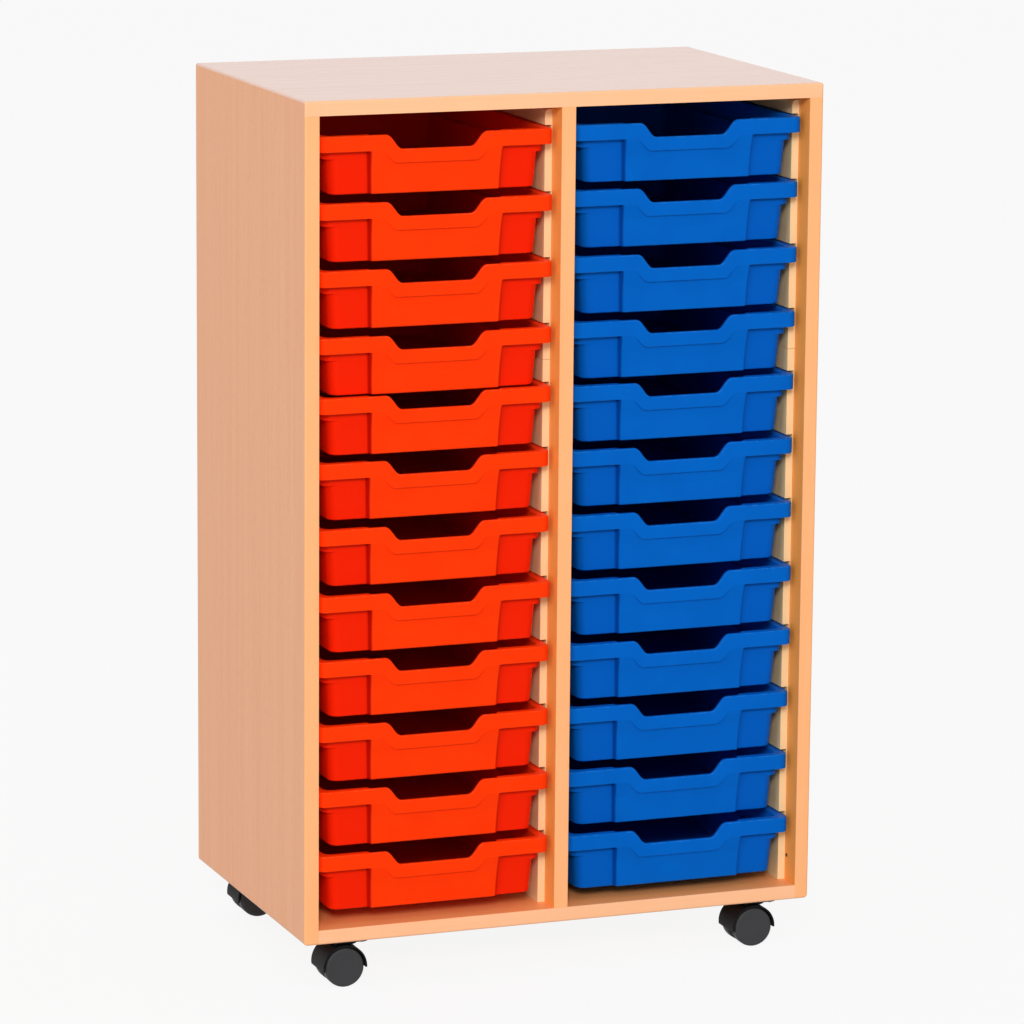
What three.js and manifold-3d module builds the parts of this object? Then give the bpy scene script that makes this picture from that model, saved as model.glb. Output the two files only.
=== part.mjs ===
// A two-column classroom tray unit on casters: wood-faced carcass, moulded runners, lift-out trays.
// Millimetres, +Z up, front towards -Y, origin on the floor under the middle of the unit.
import * as THREE from "three";
import { mergeVertices } from "three/addons/utils/BufferGeometryUtils.js";
import Module from "manifold-3d";

// Trays: the sizes of one shallow tray, which the carcass is built around.
const TRAY_WIDTH = 316;
const TRAY_DEPTH = 427;
const TRAY_HEIGHT = 75;
const TRAY_WALL = 2.5;
const RIM_THICKNESS = 5;
const RIM_CORNER = 12;
const TUB_CORNER = 8;
const TUB_DRAFT = 3;
const TUB_SETBACK = 10;
const SHOULDER_HEIGHT = 25;
const SHOULDER_STEP = 7;
const SKIRT_HEIGHT = 20;
const SKIRT_THICKNESS = 3;
const SKIRT_RETURN = 18;
const PANEL_HALF_WIDTH = 90;
const PANEL_DRAFT = 3;
const PANEL_LEAN = 4;
const SCOOP_DEPTH = 18.5;
const SCOOP_HALF_WIDTH = 49.5;
const SCOOP_FLARE = 14;
const SCOOP_SHOULDER = 7;
const BAND_UNDER_SCOOP = 17.5;

// How the trays stand in the carcass: 4 rows on the upper runners and 8 on the lower ones.
const UPPER_ROWS = 4;
const LOWER_ROWS = 8;
const TRAY_GAP = 9.8;
const TOP_GAP = 27.5;
const SIDE_CLEARANCE = 4;
const TRAY_SETBACK = 8;
const REAR_CLEARANCE = 8;
// How high each column's runners were screwed on: its lowest tray above the base, and the gap
// between its upper and its lower rows.
const RED_BOTTOM_GAP = 21;
const RED_SECTION_GAP = 1.5;
const BLUE_BOTTOM_GAP = 17;
const BLUE_SECTION_GAP = 7.8;
// How much further in or out than the usual setback each tray was left, from the top row down.
const RED_PUSHED_IN = [1, -1, -2, -3, -3, 3, 0, -7, -4, -4, -6, -6];
const BLUE_PUSHED_IN = [-1, 4, 2, 4, 5, 5, 4, 1, 0, 4, 5, -1];

// Runners: one slotted moulding on each wall of each column, in two sections.
const RUNNER_THICKNESS = 10;
const RUNNER_WEB = 1;
const RUNNER_NOSE = 6;
const RUNNER_REAR_GAP = 8;
const RUNNER_TOP_GAP = 6;
const RUNNER_FRONT_CLEARANCE = 3;
const SLOT_SEAT = 0.3;
const SLOT_HEADROOM = 1.2;
const SLOT_SIDE_GAP = 0.5;
const SECTION_SEAM = 0.4;
const SECTION_LAND = 30;
const SHOULDER_CLEARANCE = 1.5;

// Carcass panels.
const PANEL_THICKNESS = 19;
const BACK_THICKNESS = 6;
const BACK_INSET = 1;

// Casters: twin wheels under a hood on a swivelling plate.
const WHEEL_RADIUS = 26;
const WHEEL_WIDTH = 17;
const WHEEL_EDGE = 3;
const WHEEL_END_WALL = 3;
const WHEEL_SIDE_GAP = 0.8;
const AXLE_RADIUS = 3;
const AXLE_END_GAP = 0.5;
const RUNNING_GAP = 0.25;
const CASTER_TRAIL = 8;
const HOOD_WEB = 12;
const HOOD_GAP = 1.5;
const HOOD_WALL = 2.5;
const HOOD_OVERHANG = 1;
const HOOD_START = -0.05;
const HOOD_END = 3.3;
const WEB_RADIUS = 20;
const COLLAR_RADIUS = 15;
const COLLAR_HEIGHT = 3;
const KINGPIN_RADIUS = 3.6;
const KINGPIN_DEPTH = 5;
const PLATE_SIZE = 48;
const PLATE_THICKNESS = 3;
const PLATE_CORNER = 6;
const CASTER_INSET_X = 66;
const CASTER_INSET_FRONT = 32;
const CASTER_INSET_REAR = 65;

// Round shapes: steps in a full turn, in half of a corner and in half of a hood's arc.
const TURN_STEPS = 24;
const CORNER_STEPS = 1;
const HOOD_STEPS = 5;

// Overall sizes that follow from the trays, the runners and the panels.
const ROWS = UPPER_ROWS + LOWER_ROWS;
const COLUMN_WIDTH = TRAY_WIDTH + 2 * SIDE_CLEARANCE;
const TRAY_PITCH = TRAY_HEIGHT + TRAY_GAP;
const STACK_HEIGHT = ROWS * TRAY_HEIGHT + (ROWS - 2) * TRAY_GAP + RED_SECTION_GAP;
const INNER_HEIGHT = RED_BOTTOM_GAP + STACK_HEIGHT + TOP_GAP;
const WIDTH = 2 * COLUMN_WIDTH + 3 * PANEL_THICKNESS;
const DEPTH = TRAY_SETBACK + TRAY_DEPTH + REAR_CLEARANCE + BACK_THICKNESS + BACK_INSET;
const HOOD_INNER = WHEEL_RADIUS + HOOD_GAP;
const HOOD_OUTER = HOOD_INNER + HOOD_WALL;
const HOOD_TOP = WHEEL_RADIUS + HOOD_OUTER;
const CASTER_HEIGHT = HOOD_TOP + COLLAR_HEIGHT + PLATE_THICKNESS;
const BASE_TOP = CASTER_HEIGHT + PANEL_THICKNESS;
const TOP_UNDERSIDE = BASE_TOP + INNER_HEIGHT;
const FRONT = -DEPTH / 2;
const BACK_FACE = DEPTH / 2 - BACK_INSET - BACK_THICKNESS;
const DEEPEST_PUSH = Math.max(...RED_PUSHED_IN, ...BLUE_PUSHED_IN);
const RUNNER_SETBACK = TRAY_SETBACK + DEEPEST_PUSH + SKIRT_RETURN + RUNNER_FRONT_CLEARANCE;
// All trays stand to the left in their slots, close to the left runner's web.
const TRAY_TO_LEFT = SIDE_CLEARANCE - RUNNER_WEB - SLOT_SIDE_GAP;
const RUNNER_FACE = COLUMN_WIDTH / 2 - RUNNER_THICKNESS;
const SHOULDER_HALF_WIDTH = RUNNER_FACE - TRAY_TO_LEFT - SHOULDER_CLEARANCE;
const TUB_HALF_WIDTH = SHOULDER_HALF_WIDTH - SHOULDER_STEP;
const AXLE_HALF_LENGTH = HOOD_WEB / 2 + WHEEL_SIDE_GAP + WHEEL_WIDTH - WHEEL_END_WALL - AXLE_END_GAP;
const COLUMNS = {
  red: { bottomGap: RED_BOTTOM_GAP, sectionGap: RED_SECTION_GAP, pushedIn: RED_PUSHED_IN },
  blue: { bottomGap: BLUE_BOTTOM_GAP, sectionGap: BLUE_SECTION_GAP, pushedIn: BLUE_PUSHED_IN },
};

const wasm = await Module();
wasm.setup();

// A closed geometry as a solid that can be joined and cut.
function solid(geometry) {
  const bare = geometry.index ? geometry.toNonIndexed() : geometry.clone();
  bare.deleteAttribute("normal");
  bare.deleteAttribute("uv");
  const merged = mergeVertices(bare, 1e-4);
  const mesh = new wasm.Mesh({
    numProp: 3,
    vertProperties: merged.attributes.position.array,
    triVerts: new Uint32Array(merged.index.array),
  });
  return new wasm.Manifold(mesh);
}

// The geometry of a finished solid.
function geometryOf(body) {
  const mesh = body.getMesh();
  const geometry = new THREE.BufferGeometry();
  geometry.setAttribute("position", new THREE.BufferAttribute(mesh.vertProperties, 3));
  geometry.setIndex(new THREE.BufferAttribute(mesh.triVerts, 1));
  geometry.computeVertexNormals();
  return geometry;
}

function joined(first, ...others) {
  return others.reduce((whole, piece) => whole.add(piece), first);
}

function cut(first, ...tools) {
  return tools.reduce((whole, tool) => whole.subtract(tool), first);
}

// A box between two corners.
function boxGeometry(low, high) {
  const size = high.map((value, axis) => value - low[axis]);
  const middle = high.map((value, axis) => (value + low[axis]) / 2);
  return new THREE.BoxGeometry(...size).translate(...middle);
}

// A rectangle with round corners, in plan.
function roundedRectangle(left, right, front, back, radius) {
  const quarter = Math.PI / 2;
  const outline = new THREE.Shape();
  outline.absarc(left + radius, front + radius, radius, 2 * quarter, 3 * quarter, false);
  outline.absarc(right - radius, front + radius, radius, 3 * quarter, 4 * quarter, false);
  outline.absarc(right - radius, back - radius, radius, 0, quarter, false);
  outline.absarc(left + radius, back - radius, radius, quarter, 2 * quarter, false);
  return outline;
}

// An outline in plan, raised from one height to another.
function upright(outline, low, high, curveSegments = CORNER_STEPS) {
  const settings = { depth: high - low, bevelEnabled: false, curveSegments };
  return new THREE.ExtrudeGeometry(outline, settings).translate(0, 0, low);
}

// An outline seen from the front, with its heights along its second axis, run from front to back.
function alongDepth(outline, front, back, curveSegments = CORNER_STEPS) {
  const settings = { depth: back - front, bevelEnabled: false, curveSegments };
  return new THREE.ExtrudeGeometry(outline, settings).rotateX(Math.PI / 2).translate(0, back, 0);
}

// Draws the foot of an upright piece in: each of its lowest points is moved by the given rule.
function drawnIn(geometry, low, rule) {
  const points = geometry.attributes.position;
  for (let i = 0; i < points.count; i++) {
    if (Math.abs(points.getZ(i) - low) < 1e-6) {
      const [x, y] = rule(points.getX(i), points.getY(i));
      points.setXY(i, x, y);
    }
  }
  return geometry;
}

function polygon(points) {
  return new THREE.Shape(points.map(([x, y]) => new THREE.Vector2(x, y)));
}

// One tray, with its rim's front edge at y = 0, its foot at z = 0 and x = 0 in its middle.
function trayGeometry() {
  const halfRim = TRAY_WIDTH / 2;
  const rimUnderside = TRAY_HEIGHT - RIM_THICKNESS;
  const shoulderFoot = TRAY_HEIGHT - RIM_THICKNESS - SHOULDER_HEIGHT;
  const skirtFoot = TRAY_HEIGHT - SKIRT_HEIGHT;
  const scoopFloor = TRAY_HEIGHT - SCOOP_DEPTH;
  const tubBack = TRAY_DEPTH - TUB_SETBACK;
  const tubMiddle = TRAY_DEPTH / 2;
  const overTop = TRAY_HEIGHT + TRAY_WALL;
  const fromMiddle = (value, inset) => value - Math.sign(value) * inset;

  // The tub below the shoulder, drawn in at its foot, or its hollow when it is inset by the wall.
  function tub(inset, low, high) {
    const half = TUB_HALF_WIDTH - inset;
    const outline = roundedRectangle(
      -half, half, TUB_SETBACK + inset, tubBack - inset, TUB_CORNER - inset);
    const rule = (x, y) => [
      fromMiddle(x, TUB_DRAFT),
      tubMiddle + fromMiddle(y - tubMiddle, TUB_DRAFT),
    ];
    return solid(drawnIn(upright(outline, low, high), low, rule));
  }

  // The wider part of the tub under the rim, which stacked trays would sit on.
  function shoulder(inset, low, high) {
    const half = SHOULDER_HALF_WIDTH - inset;
    const outline = roundedRectangle(
      -half, half, TUB_SETBACK + inset, tubBack - inset, TUB_CORNER - inset);
    return solid(upright(outline, low, high));
  }

  // The middle of the front wall, which stands forward of its ends and tapers to its foot.
  function frontPanel(inset, low, high) {
    const half = PANEL_HALF_WIDTH - inset;
    const front = SKIRT_THICKNESS + inset;
    const back = TUB_SETBACK + TUB_CORNER;
    const outline = polygon([[-half, front], [half, front], [half, back], [-half, back]]);
    const rule = (x, y) => [fromMiddle(x, PANEL_DRAFT), y < back ? y + PANEL_LEAN : y];
    return solid(drawnIn(upright(outline, low, high), low, rule));
  }

  const rimOutline = roundedRectangle(-halfRim, halfRim, 0, TRAY_DEPTH, RIM_CORNER);
  const rim = solid(upright(rimOutline, rimUnderside, TRAY_HEIGHT));

  // The skirt hangs from the front of the rim and turns a little way along both sides.
  const skirtInside = roundedRectangle(
    SKIRT_THICKNESS - halfRim, halfRim - SKIRT_THICKNESS,
    SKIRT_THICKNESS, TRAY_DEPTH - SKIRT_THICKNESS, RIM_CORNER - SKIRT_THICKNESS);
  const skirtRing = cut(
    solid(upright(rimOutline, skirtFoot, TRAY_HEIGHT)),
    solid(upright(skirtInside, skirtFoot - 1, rimUnderside)));
  const skirtReach = boxGeometry([-halfRim, 0, skirtFoot], [halfRim, SKIRT_RETURN, TRAY_HEIGHT]);
  const skirt = skirtRing.intersect(solid(skirtReach));

  // Below the hand scoop the skirt dips, so that the band keeps its height.
  const bandHalf = SCOOP_HALF_WIDTH + SCOOP_SHOULDER;
  const bandFoot = scoopFloor - BAND_UNDER_SCOOP;
  const bandShoulder = bandHalf + skirtFoot - bandFoot;
  const band = solid(alongDepth(
    polygon([[-bandHalf, bandFoot], [bandHalf, bandFoot], [bandShoulder, skirtFoot],
      [bandHalf, scoopFloor], [-bandHalf, scoopFloor], [-bandShoulder, skirtFoot]]),
    0, SKIRT_THICKNESS + TRAY_WALL));

  // The hand scoop, with round shoulders where it meets the rim.
  const flare = SCOOP_HALF_WIDTH + SCOOP_FLARE;
  const scoopShape = new THREE.Shape();
  scoopShape.moveTo(-SCOOP_HALF_WIDTH, scoopFloor);
  scoopShape.lineTo(SCOOP_HALF_WIDTH, scoopFloor);
  scoopShape.lineTo(flare - SCOOP_SHOULDER / 2, TRAY_HEIGHT - SCOOP_SHOULDER / 2);
  scoopShape.lineTo(flare + SCOOP_SHOULDER / 2, TRAY_HEIGHT);
  scoopShape.lineTo(flare + SCOOP_SHOULDER / 2, overTop);
  scoopShape.lineTo(-flare - SCOOP_SHOULDER / 2, overTop);
  scoopShape.lineTo(-flare - SCOOP_SHOULDER / 2, TRAY_HEIGHT);
  scoopShape.lineTo(SCOOP_SHOULDER / 2 - flare, TRAY_HEIGHT - SCOOP_SHOULDER / 2);
  const scoop = solid(alongDepth(scoopShape, -TRAY_WALL, TUB_SETBACK + TUB_CORNER));

  const outside = joined(
    tub(0, 0, shoulderFoot),
    shoulder(0, shoulderFoot, TRAY_HEIGHT),
    frontPanel(0, 0, TRAY_HEIGHT),
    rim, skirt, band);
  return geometryOf(cut(
    outside,
    tub(TRAY_WALL, TRAY_WALL, shoulderFoot + TRAY_WALL),
    shoulder(TRAY_WALL, shoulderFoot + TRAY_WALL, overTop),
    frontPanel(TRAY_WALL, TRAY_WALL, overTop),
    scoop));
}

// The height of a tray's foot in its column, counting rows from the top.
function trayFoot(column, row) {
  const evenlySpaced = BASE_TOP + column.bottomGap + (ROWS - 1 - row) * TRAY_PITCH;
  return row < UPPER_ROWS ? evenlySpaced - TRAY_GAP + column.sectionGap : evenlySpaced;
}

// One runner section for a wall of a column, its back at x = 0. Its slots hold the trays' rims and face
// +X where side is 1, -X where it is -1.
function runnerGeometry(column, rows, low, high, nose, side) {
  const outline = new THREE.Shape();
  outline.moveTo(0, low);
  outline.lineTo(side * RUNNER_THICKNESS, low);
  for (const row of rows) {
    const rimTop = trayFoot(column, row) + TRAY_HEIGHT;
    const seat = rimTop - RIM_THICKNESS - SLOT_SEAT;
    const ceiling = rimTop + SLOT_HEADROOM;
    outline.lineTo(side * RUNNER_THICKNESS, seat);
    outline.lineTo(side * RUNNER_WEB, seat);
    outline.lineTo(side * RUNNER_WEB, ceiling);
    outline.lineTo(side * RUNNER_THICKNESS, ceiling);
  }
  outline.lineTo(side * RUNNER_THICKNESS, high - nose);
  outline.quadraticCurveTo(side * RUNNER_THICKNESS, high, side * (RUNNER_THICKNESS - nose), high);
  outline.lineTo(0, high);
  return alongDepth(outline, FRONT + RUNNER_SETBACK, BACK_FACE - RUNNER_REAR_GAP);
}

// A round pin, boss or hole that runs from front to back.
function roundBar(radius, low, high) {
  const bar = new THREE.CylinderGeometry(radius, radius, high - low, TURN_STEPS);
  return bar.translate(0, (low + high) / 2, 0);
}

// The same, standing upright.
function uprightBar(radius, low, high) {
  return roundBar(radius, low, high).rotateX(Math.PI / 2);
}

// A caster's fixing plate with its swivel pin, above the stem at x = y = 0, the floor at z = 0.
function plateGeometry() {
  const half = PLATE_SIZE / 2;
  const underside = CASTER_HEIGHT - PLATE_THICKNESS;
  const outline = roundedRectangle(-half, half, -half, half, PLATE_CORNER);
  const plate = upright(outline, underside, CASTER_HEIGHT);
  const kingpin = uprightBar(KINGPIN_RADIUS, HOOD_TOP - KINGPIN_DEPTH, underside + PLATE_THICKNESS / 2);
  return geometryOf(joined(solid(plate), solid(kingpin)));
}

// The hood: a middle web that carries the axle, a cover over both wheels and a collar under the plate.
function hoodGeometry() {
  const coverHalf = HOOD_WEB / 2 + WHEEL_SIDE_GAP + WHEEL_WIDTH + HOOD_OVERHANG;
  const coverOutline = new THREE.Shape();
  coverOutline.absarc(0, 0, HOOD_OUTER, HOOD_START, HOOD_END, false);
  coverOutline.absarc(0, 0, HOOD_INNER, HOOD_END, HOOD_START, true);
  const cover = alongDepth(coverOutline, -coverHalf, coverHalf, HOOD_STEPS);

  const webOutline = new THREE.Shape();
  webOutline.absarc(0, 0, HOOD_INNER + HOOD_WALL / 2, HOOD_START, HOOD_END, false);
  webOutline.absarc(0, 0, WEB_RADIUS, HOOD_END, HOOD_START + 2 * Math.PI, false);
  const web = alongDepth(webOutline, -HOOD_WEB / 2, HOOD_WEB / 2, HOOD_STEPS);

  const shift = (geometry) => solid(geometry.translate(-CASTER_TRAIL, 0, WHEEL_RADIUS));
  const collarTop = HOOD_TOP + COLLAR_HEIGHT - RUNNING_GAP;
  const collar = solid(uprightBar(COLLAR_RADIUS, HOOD_TOP - HOOD_WALL, collarTop));
  const axleBore = shift(roundBar(AXLE_RADIUS + RUNNING_GAP, -HOOD_WEB, HOOD_WEB));
  const stemBore = solid(uprightBar(
    KINGPIN_RADIUS + RUNNING_GAP, HOOD_TOP - KINGPIN_DEPTH - RUNNING_GAP, CASTER_HEIGHT));
  // The collar's foot would reach into the wheels' space, so that space is cut clear of it.
  const wheelSpace = shift(roundBar(HOOD_INNER, -coverHalf, coverHalf));
  const collarOnly = cut(collar, wheelSpace);
  return geometryOf(cut(joined(shift(cover), shift(web), collarOnly), axleBore, stemBore));
}

function axleGeometry() {
  const pin = roundBar(AXLE_RADIUS, -AXLE_HALF_LENGTH, AXLE_HALF_LENGTH);
  return pin.translate(-CASTER_TRAIL, 0, WHEEL_RADIUS);
}

// One wheel, its inner face at y = 0 and its plain outer face at y = WHEEL_WIDTH.
function wheelGeometry() {
  const bore = AXLE_RADIUS + RUNNING_GAP;
  const boreEnd = WHEEL_WIDTH - WHEEL_END_WALL;
  const profile = [
    [0, boreEnd],
    [bore, boreEnd],
    [bore, 0],
    [WHEEL_RADIUS - WHEEL_EDGE, 0],
    [WHEEL_RADIUS, WHEEL_EDGE],
    [WHEEL_RADIUS, WHEEL_WIDTH - WHEEL_EDGE],
    [WHEEL_RADIUS - WHEEL_EDGE, WHEEL_WIDTH],
    [0, WHEEL_WIDTH],
  ];
  const points = profile.map(([radius, along]) => new THREE.Vector2(radius, along));
  return new THREE.LatheGeometry(points, TURN_STEPS);
}

const unit = new THREE.Group();

function finish(color, roughness, metalness = 0) {
  return () => new THREE.MeshStandardMaterial({ color, roughness, metalness });
}

const beech = finish("#e5b48c", 0.45);
const cream = finish("#f6dcb4", 0.5);
const redPlastic = finish("#f8370a", 0.4);
const bluePlastic = finish("#0062c6", 0.4);
const blackNylon = finish("#1c1b1c", 0.5);
const wheelGrey = finish("#3c3c3e", 0.55);
const steel = finish("#8d8f92", 0.35, 1);

function add(parent, name, geometry, material) {
  const mesh = new THREE.Mesh(geometry, material());
  mesh.name = name;
  parent.add(mesh);
  return mesh;
}

// Carcass: a top over the sides, a base between them, a divider, and a back let in behind.
function addCarcass() {
  const half = WIDTH / 2;
  const back = DEPTH / 2;
  const inside = half - PANEL_THICKNESS;
  const middle = PANEL_THICKNESS / 2;
  const panels = {
    base_panel: [[-inside, FRONT, CASTER_HEIGHT], [inside, back, BASE_TOP]],
    top_panel: [[-half, FRONT, TOP_UNDERSIDE], [half, back, TOP_UNDERSIDE + PANEL_THICKNESS]],
    left_side_panel: [[-half, FRONT, CASTER_HEIGHT], [-inside, back, TOP_UNDERSIDE]],
    right_side_panel: [[inside, FRONT, CASTER_HEIGHT], [half, back, TOP_UNDERSIDE]],
    centre_divider: [[-middle, FRONT, BASE_TOP], [middle, BACK_FACE, TOP_UNDERSIDE]],
    back_panel: [[-inside, BACK_FACE, BASE_TOP], [inside, BACK_FACE + BACK_THICKNESS, TOP_UNDERSIDE]],
  };
  for (const [name, [low, high]] of Object.entries(panels)) {
    add(unit, name, boxGeometry(low, high), beech);
  }
}

// Runners: an upper and a lower section on both walls of both columns.
function addRunners() {
  const allRows = Array.from({ length: ROWS }, (_, row) => row).reverse();
  const inside = WIDTH / 2 - PANEL_THICKNESS;
  const middle = PANEL_THICKNESS / 2;
  const walls = {
    red_left: [COLUMNS.red, -inside, 1],
    red_right: [COLUMNS.red, -middle, -1],
    blue_left: [COLUMNS.blue, middle, 1],
    blue_right: [COLUMNS.blue, inside, -1],
  };
  for (const [wall, [column, x, side]] of Object.entries(walls)) {
    const seam = trayFoot(column, UPPER_ROWS) + TRAY_HEIGHT + SECTION_LAND;
    const sections = {
      lower: [allRows.slice(0, LOWER_ROWS), BASE_TOP, seam, 0],
      upper: [allRows.slice(LOWER_ROWS), seam + SECTION_SEAM, TOP_UNDERSIDE - RUNNER_TOP_GAP, RUNNER_NOSE],
    };
    for (const [section, [rows, low, high, nose]] of Object.entries(sections)) {
      const geometry = runnerGeometry(column, rows, low, high, nose, side);
      add(unit, `${section}_runner_${wall}`, geometry, cream).position.x = x;
    }
  }
}

// Trays: one geometry, placed in every row of both columns.
function addTrays() {
  const geometry = trayGeometry();
  const columnMiddle = (COLUMN_WIDTH + PANEL_THICKNESS) / 2;
  const places = [
    ["red", -columnMiddle, redPlastic],
    ["blue", columnMiddle, bluePlastic],
  ];
  for (const [colour, x, material] of places) {
    const column = COLUMNS[colour];
    for (let row = 0; row < ROWS; row++) {
      const number = String(row + 1).padStart(2, "0");
      const tray = add(unit, `${colour}_tray_${number}`, geometry, material);
      const push = column.pushedIn[row % column.pushedIn.length];
      tray.position.set(x - TRAY_TO_LEFT, FRONT + TRAY_SETBACK + push, trayFoot(column, row));
    }
  }
}

// Casters: the same five pieces near each corner of the base.
function addCasters() {
  const plate = plateGeometry();
  const hood = hoodGeometry();
  const axle = axleGeometry();
  const wheel = wheelGeometry();
  const x = WIDTH / 2 - CASTER_INSET_X;
  const front = FRONT + CASTER_INSET_FRONT;
  const rear = DEPTH / 2 - CASTER_INSET_REAR;
  const corners = {
    front_left: [-x, front],
    front_right: [x, front],
    rear_left: [-x, rear],
    rear_right: [x, rear],
  };
  for (const [corner, [cornerX, cornerY]] of Object.entries(corners)) {
    const caster = new THREE.Group();
    caster.position.set(cornerX, cornerY, 0);
    unit.add(caster);
    add(caster, `caster_plate_${corner}`, plate, steel);
    add(caster, `caster_hood_${corner}`, hood, blackNylon);
    add(caster, `caster_axle_${corner}`, axle, steel);
    const innerFace = HOOD_WEB / 2 + WHEEL_SIDE_GAP;
    const near = add(caster, `caster_wheel_${corner}_near`, wheel, wheelGrey);
    near.rotation.z = Math.PI;
    near.position.set(-CASTER_TRAIL, -innerFace, WHEEL_RADIUS);
    const far = add(caster, `caster_wheel_${corner}_far`, wheel, wheelGrey);
    far.position.set(-CASTER_TRAIL, innerFace, WHEEL_RADIUS);
  }
}

addCarcass();
addRunners();
addTrays();
addCasters();

export default unit;
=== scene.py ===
"""Looks of a classroom tray unit: beech-faced boards, moulded runners and trays, twin-wheel casters."""
import math

import bmesh
import bpy
from mathutils import Matrix, Vector


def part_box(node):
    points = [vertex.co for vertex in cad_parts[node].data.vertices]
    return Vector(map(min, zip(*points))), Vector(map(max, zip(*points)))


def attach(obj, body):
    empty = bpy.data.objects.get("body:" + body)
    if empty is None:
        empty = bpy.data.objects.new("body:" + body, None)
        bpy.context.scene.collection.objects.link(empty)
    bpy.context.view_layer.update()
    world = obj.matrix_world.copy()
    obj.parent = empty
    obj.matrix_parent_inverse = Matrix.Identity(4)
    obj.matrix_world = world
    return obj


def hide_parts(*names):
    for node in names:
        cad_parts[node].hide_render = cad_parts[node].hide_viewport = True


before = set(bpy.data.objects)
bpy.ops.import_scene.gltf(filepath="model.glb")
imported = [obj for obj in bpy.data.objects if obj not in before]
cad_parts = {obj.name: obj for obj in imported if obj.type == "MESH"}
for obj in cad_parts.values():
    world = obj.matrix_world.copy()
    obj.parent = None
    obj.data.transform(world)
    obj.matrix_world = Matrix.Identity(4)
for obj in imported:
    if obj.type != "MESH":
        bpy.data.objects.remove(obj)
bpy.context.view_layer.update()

MM = 0.001
TOUCHING = 0.001 * MM

# One shallow tray, in its own place: rim's front edge at y = 0, foot at z = 0, middle at x = 0.
TRAY_HALF_WIDTH = 158 * MM
TRAY_DEPTH = 427 * MM
TRAY_HEIGHT = 75 * MM
TRAY_WALL = 2.5 * MM
RIM_CORNER = 12 * MM
RIM_THICKNESS = 5 * MM
RIM_RECESS = 0.6 * MM
SKIRT_HEIGHT = 20 * MM
SKIRT_THICKNESS = 3 * MM
SKIRT_RETURN = 18 * MM
SKIRT_REVEAL_SHARE = 0.6
SHOULDER_HALF_WIDTH = 148 * MM
SHOULDER_FOOT = 45 * MM
TUB_HALF_WIDTH = 141 * MM
TUB_SETBACK = 10 * MM
TUB_CORNER = 13 * MM
TUB_DRAFT = 3 * MM
PANEL_HALF_WIDTH = 90 * MM
PANEL_DRAFT = 3 * MM
PANEL_FOOT_SETBACK = 7 * MM
PANEL_STEP = 3 * MM
PANEL_STEP_SLOPE = 1.2 * MM
SCOOP_HALF_WIDTH = 49.5 * MM
SCOOP_FLARE = 14 * MM
SCOOP_DEPTH = 18.5 * MM
SCOOP_ROUNDING = 4 * MM
DIP_SAMPLES = 4
SCOOP_WALL = 5.5 * MM
BAND_SPREAD = 7 * MM
BAND_DIP = 16 * MM
BAND_LEVEL = TRAY_HEIGHT - SKIRT_HEIGHT

# How far the rounding of a tray's edges reaches, and how far its middle lies from the sharp corner.
FOOT_FILLET = 2 * MM
FOOT_FILLET_MIDDLE = 0.6 * MM
RIM_FILLET = 1.8 * MM
RIM_FILLET_MIDDLE = 0.55 * MM
INNER_FILLET = 1.4 * MM
INNER_FILLET_MIDDLE = 0.4 * MM
SKIRT_FILLET = 0.9 * MM
SKIRT_ROOT_FILLET = 0.6 * MM
LEDGE_FILLET = 1.3 * MM
LEDGE_FILLET_INSIDE = 1.4 * MM
LEDGE_CORNER_OUT = 0.8 * MM
LEDGE_CORNER_IN = 0.4 * MM
LEDGE_SLOPE_FOOT = 0.4 * MM
LEDGE_SLOPE_TOP = 0.2 * MM
LEDGE_SLOPE_INSIDE = 0.3 * MM
FLOOR_FILLET_RISE = 4.5 * MM
FLOOR_FILLET_REACH = 4 * MM
FLOOR_FILLET_MIDDLE = (1.2 * MM, 1.3 * MM)
LEAST_CORNER = 0.5 * MM
PANEL_UNDERCUT = 0.5 * MM
FULL_REVEAL = 1.5 * MM
LEAST_GAP = 0.05

# Boards, runners and casters. The hood's angles are in radians, from +X over its top.
BAND_THICKNESS = 2 * MM
FACE_THICKNESS = 0.1 * MM
ARRIS_RADIUS = 3 * MM
FOOT_ARRIS_RADIUS = 5 * MM
INNER_ARRIS_RADIUS = 0.6 * MM
RUNNER_WEB = 1 * MM
RUNNER_NOSE = 6 * MM
RUNNER_ARRIS = 0.4 * MM
EDGE_STEPS = 6
SLOT_SEAT = 5.3 * MM
SLOT_HEADROOM = 1.2 * MM
UPPER_ROWS = 4
ROWS = 12
WHEEL_RADIUS = 26 * MM
WHEEL_WIDTH = 17 * MM
WHEEL_SIDES = 64
WHEEL_EDGE = 3.2 * MM
WHEEL_BORE = 3.25 * MM
WHEEL_BORE_ARRIS = 0.3 * MM
WHEEL_END_WALL = 3 * MM
DISH_RADIUS = 19.6 * MM
DISH_FOOT_RADIUS = 19 * MM
DISH_DEPTH = 0.5 * MM
HUB_RADIUS = 7 * MM
HUB_DEPTH = 0.6 * MM
HOOD_WEB = 12 * MM
HOOD_INNER = 27.5 * MM
HOOD_OUTER = 30 * MM
HOOD_HALF_WIDTH = 24.8 * MM
HOOD_START = -0.05
HOOD_END = 3.3
HOOD_ARRIS = 0.7 * MM
HOOD_OVERLAP = 0.5 * MM
HOOD_STEPS = 44
WEB_RADIUS = 20 * MM
WEB_STEPS = 30
COLLAR_RADIUS = 15 * MM
COLLAR_ARRIS = 0.6 * MM
COLLAR_SIDES = 40
COLLAR_TOP = 58.75 * MM
KINGPIN_RADIUS = 3.6 * MM
KINGPIN_FOOT = 51 * MM
KINGPIN_ARRIS = 0.5 * MM
KINGPIN_SIDES = 32
PLATE_THICKNESS = 3 * MM
PLATE_CORNER = 6 * MM
PLATE_CORNER_STEPS = 8
PLATE_ARRIS = 0.6 * MM
CORNERS = ("front_left", "front_right", "rear_left", "rear_right")
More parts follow.
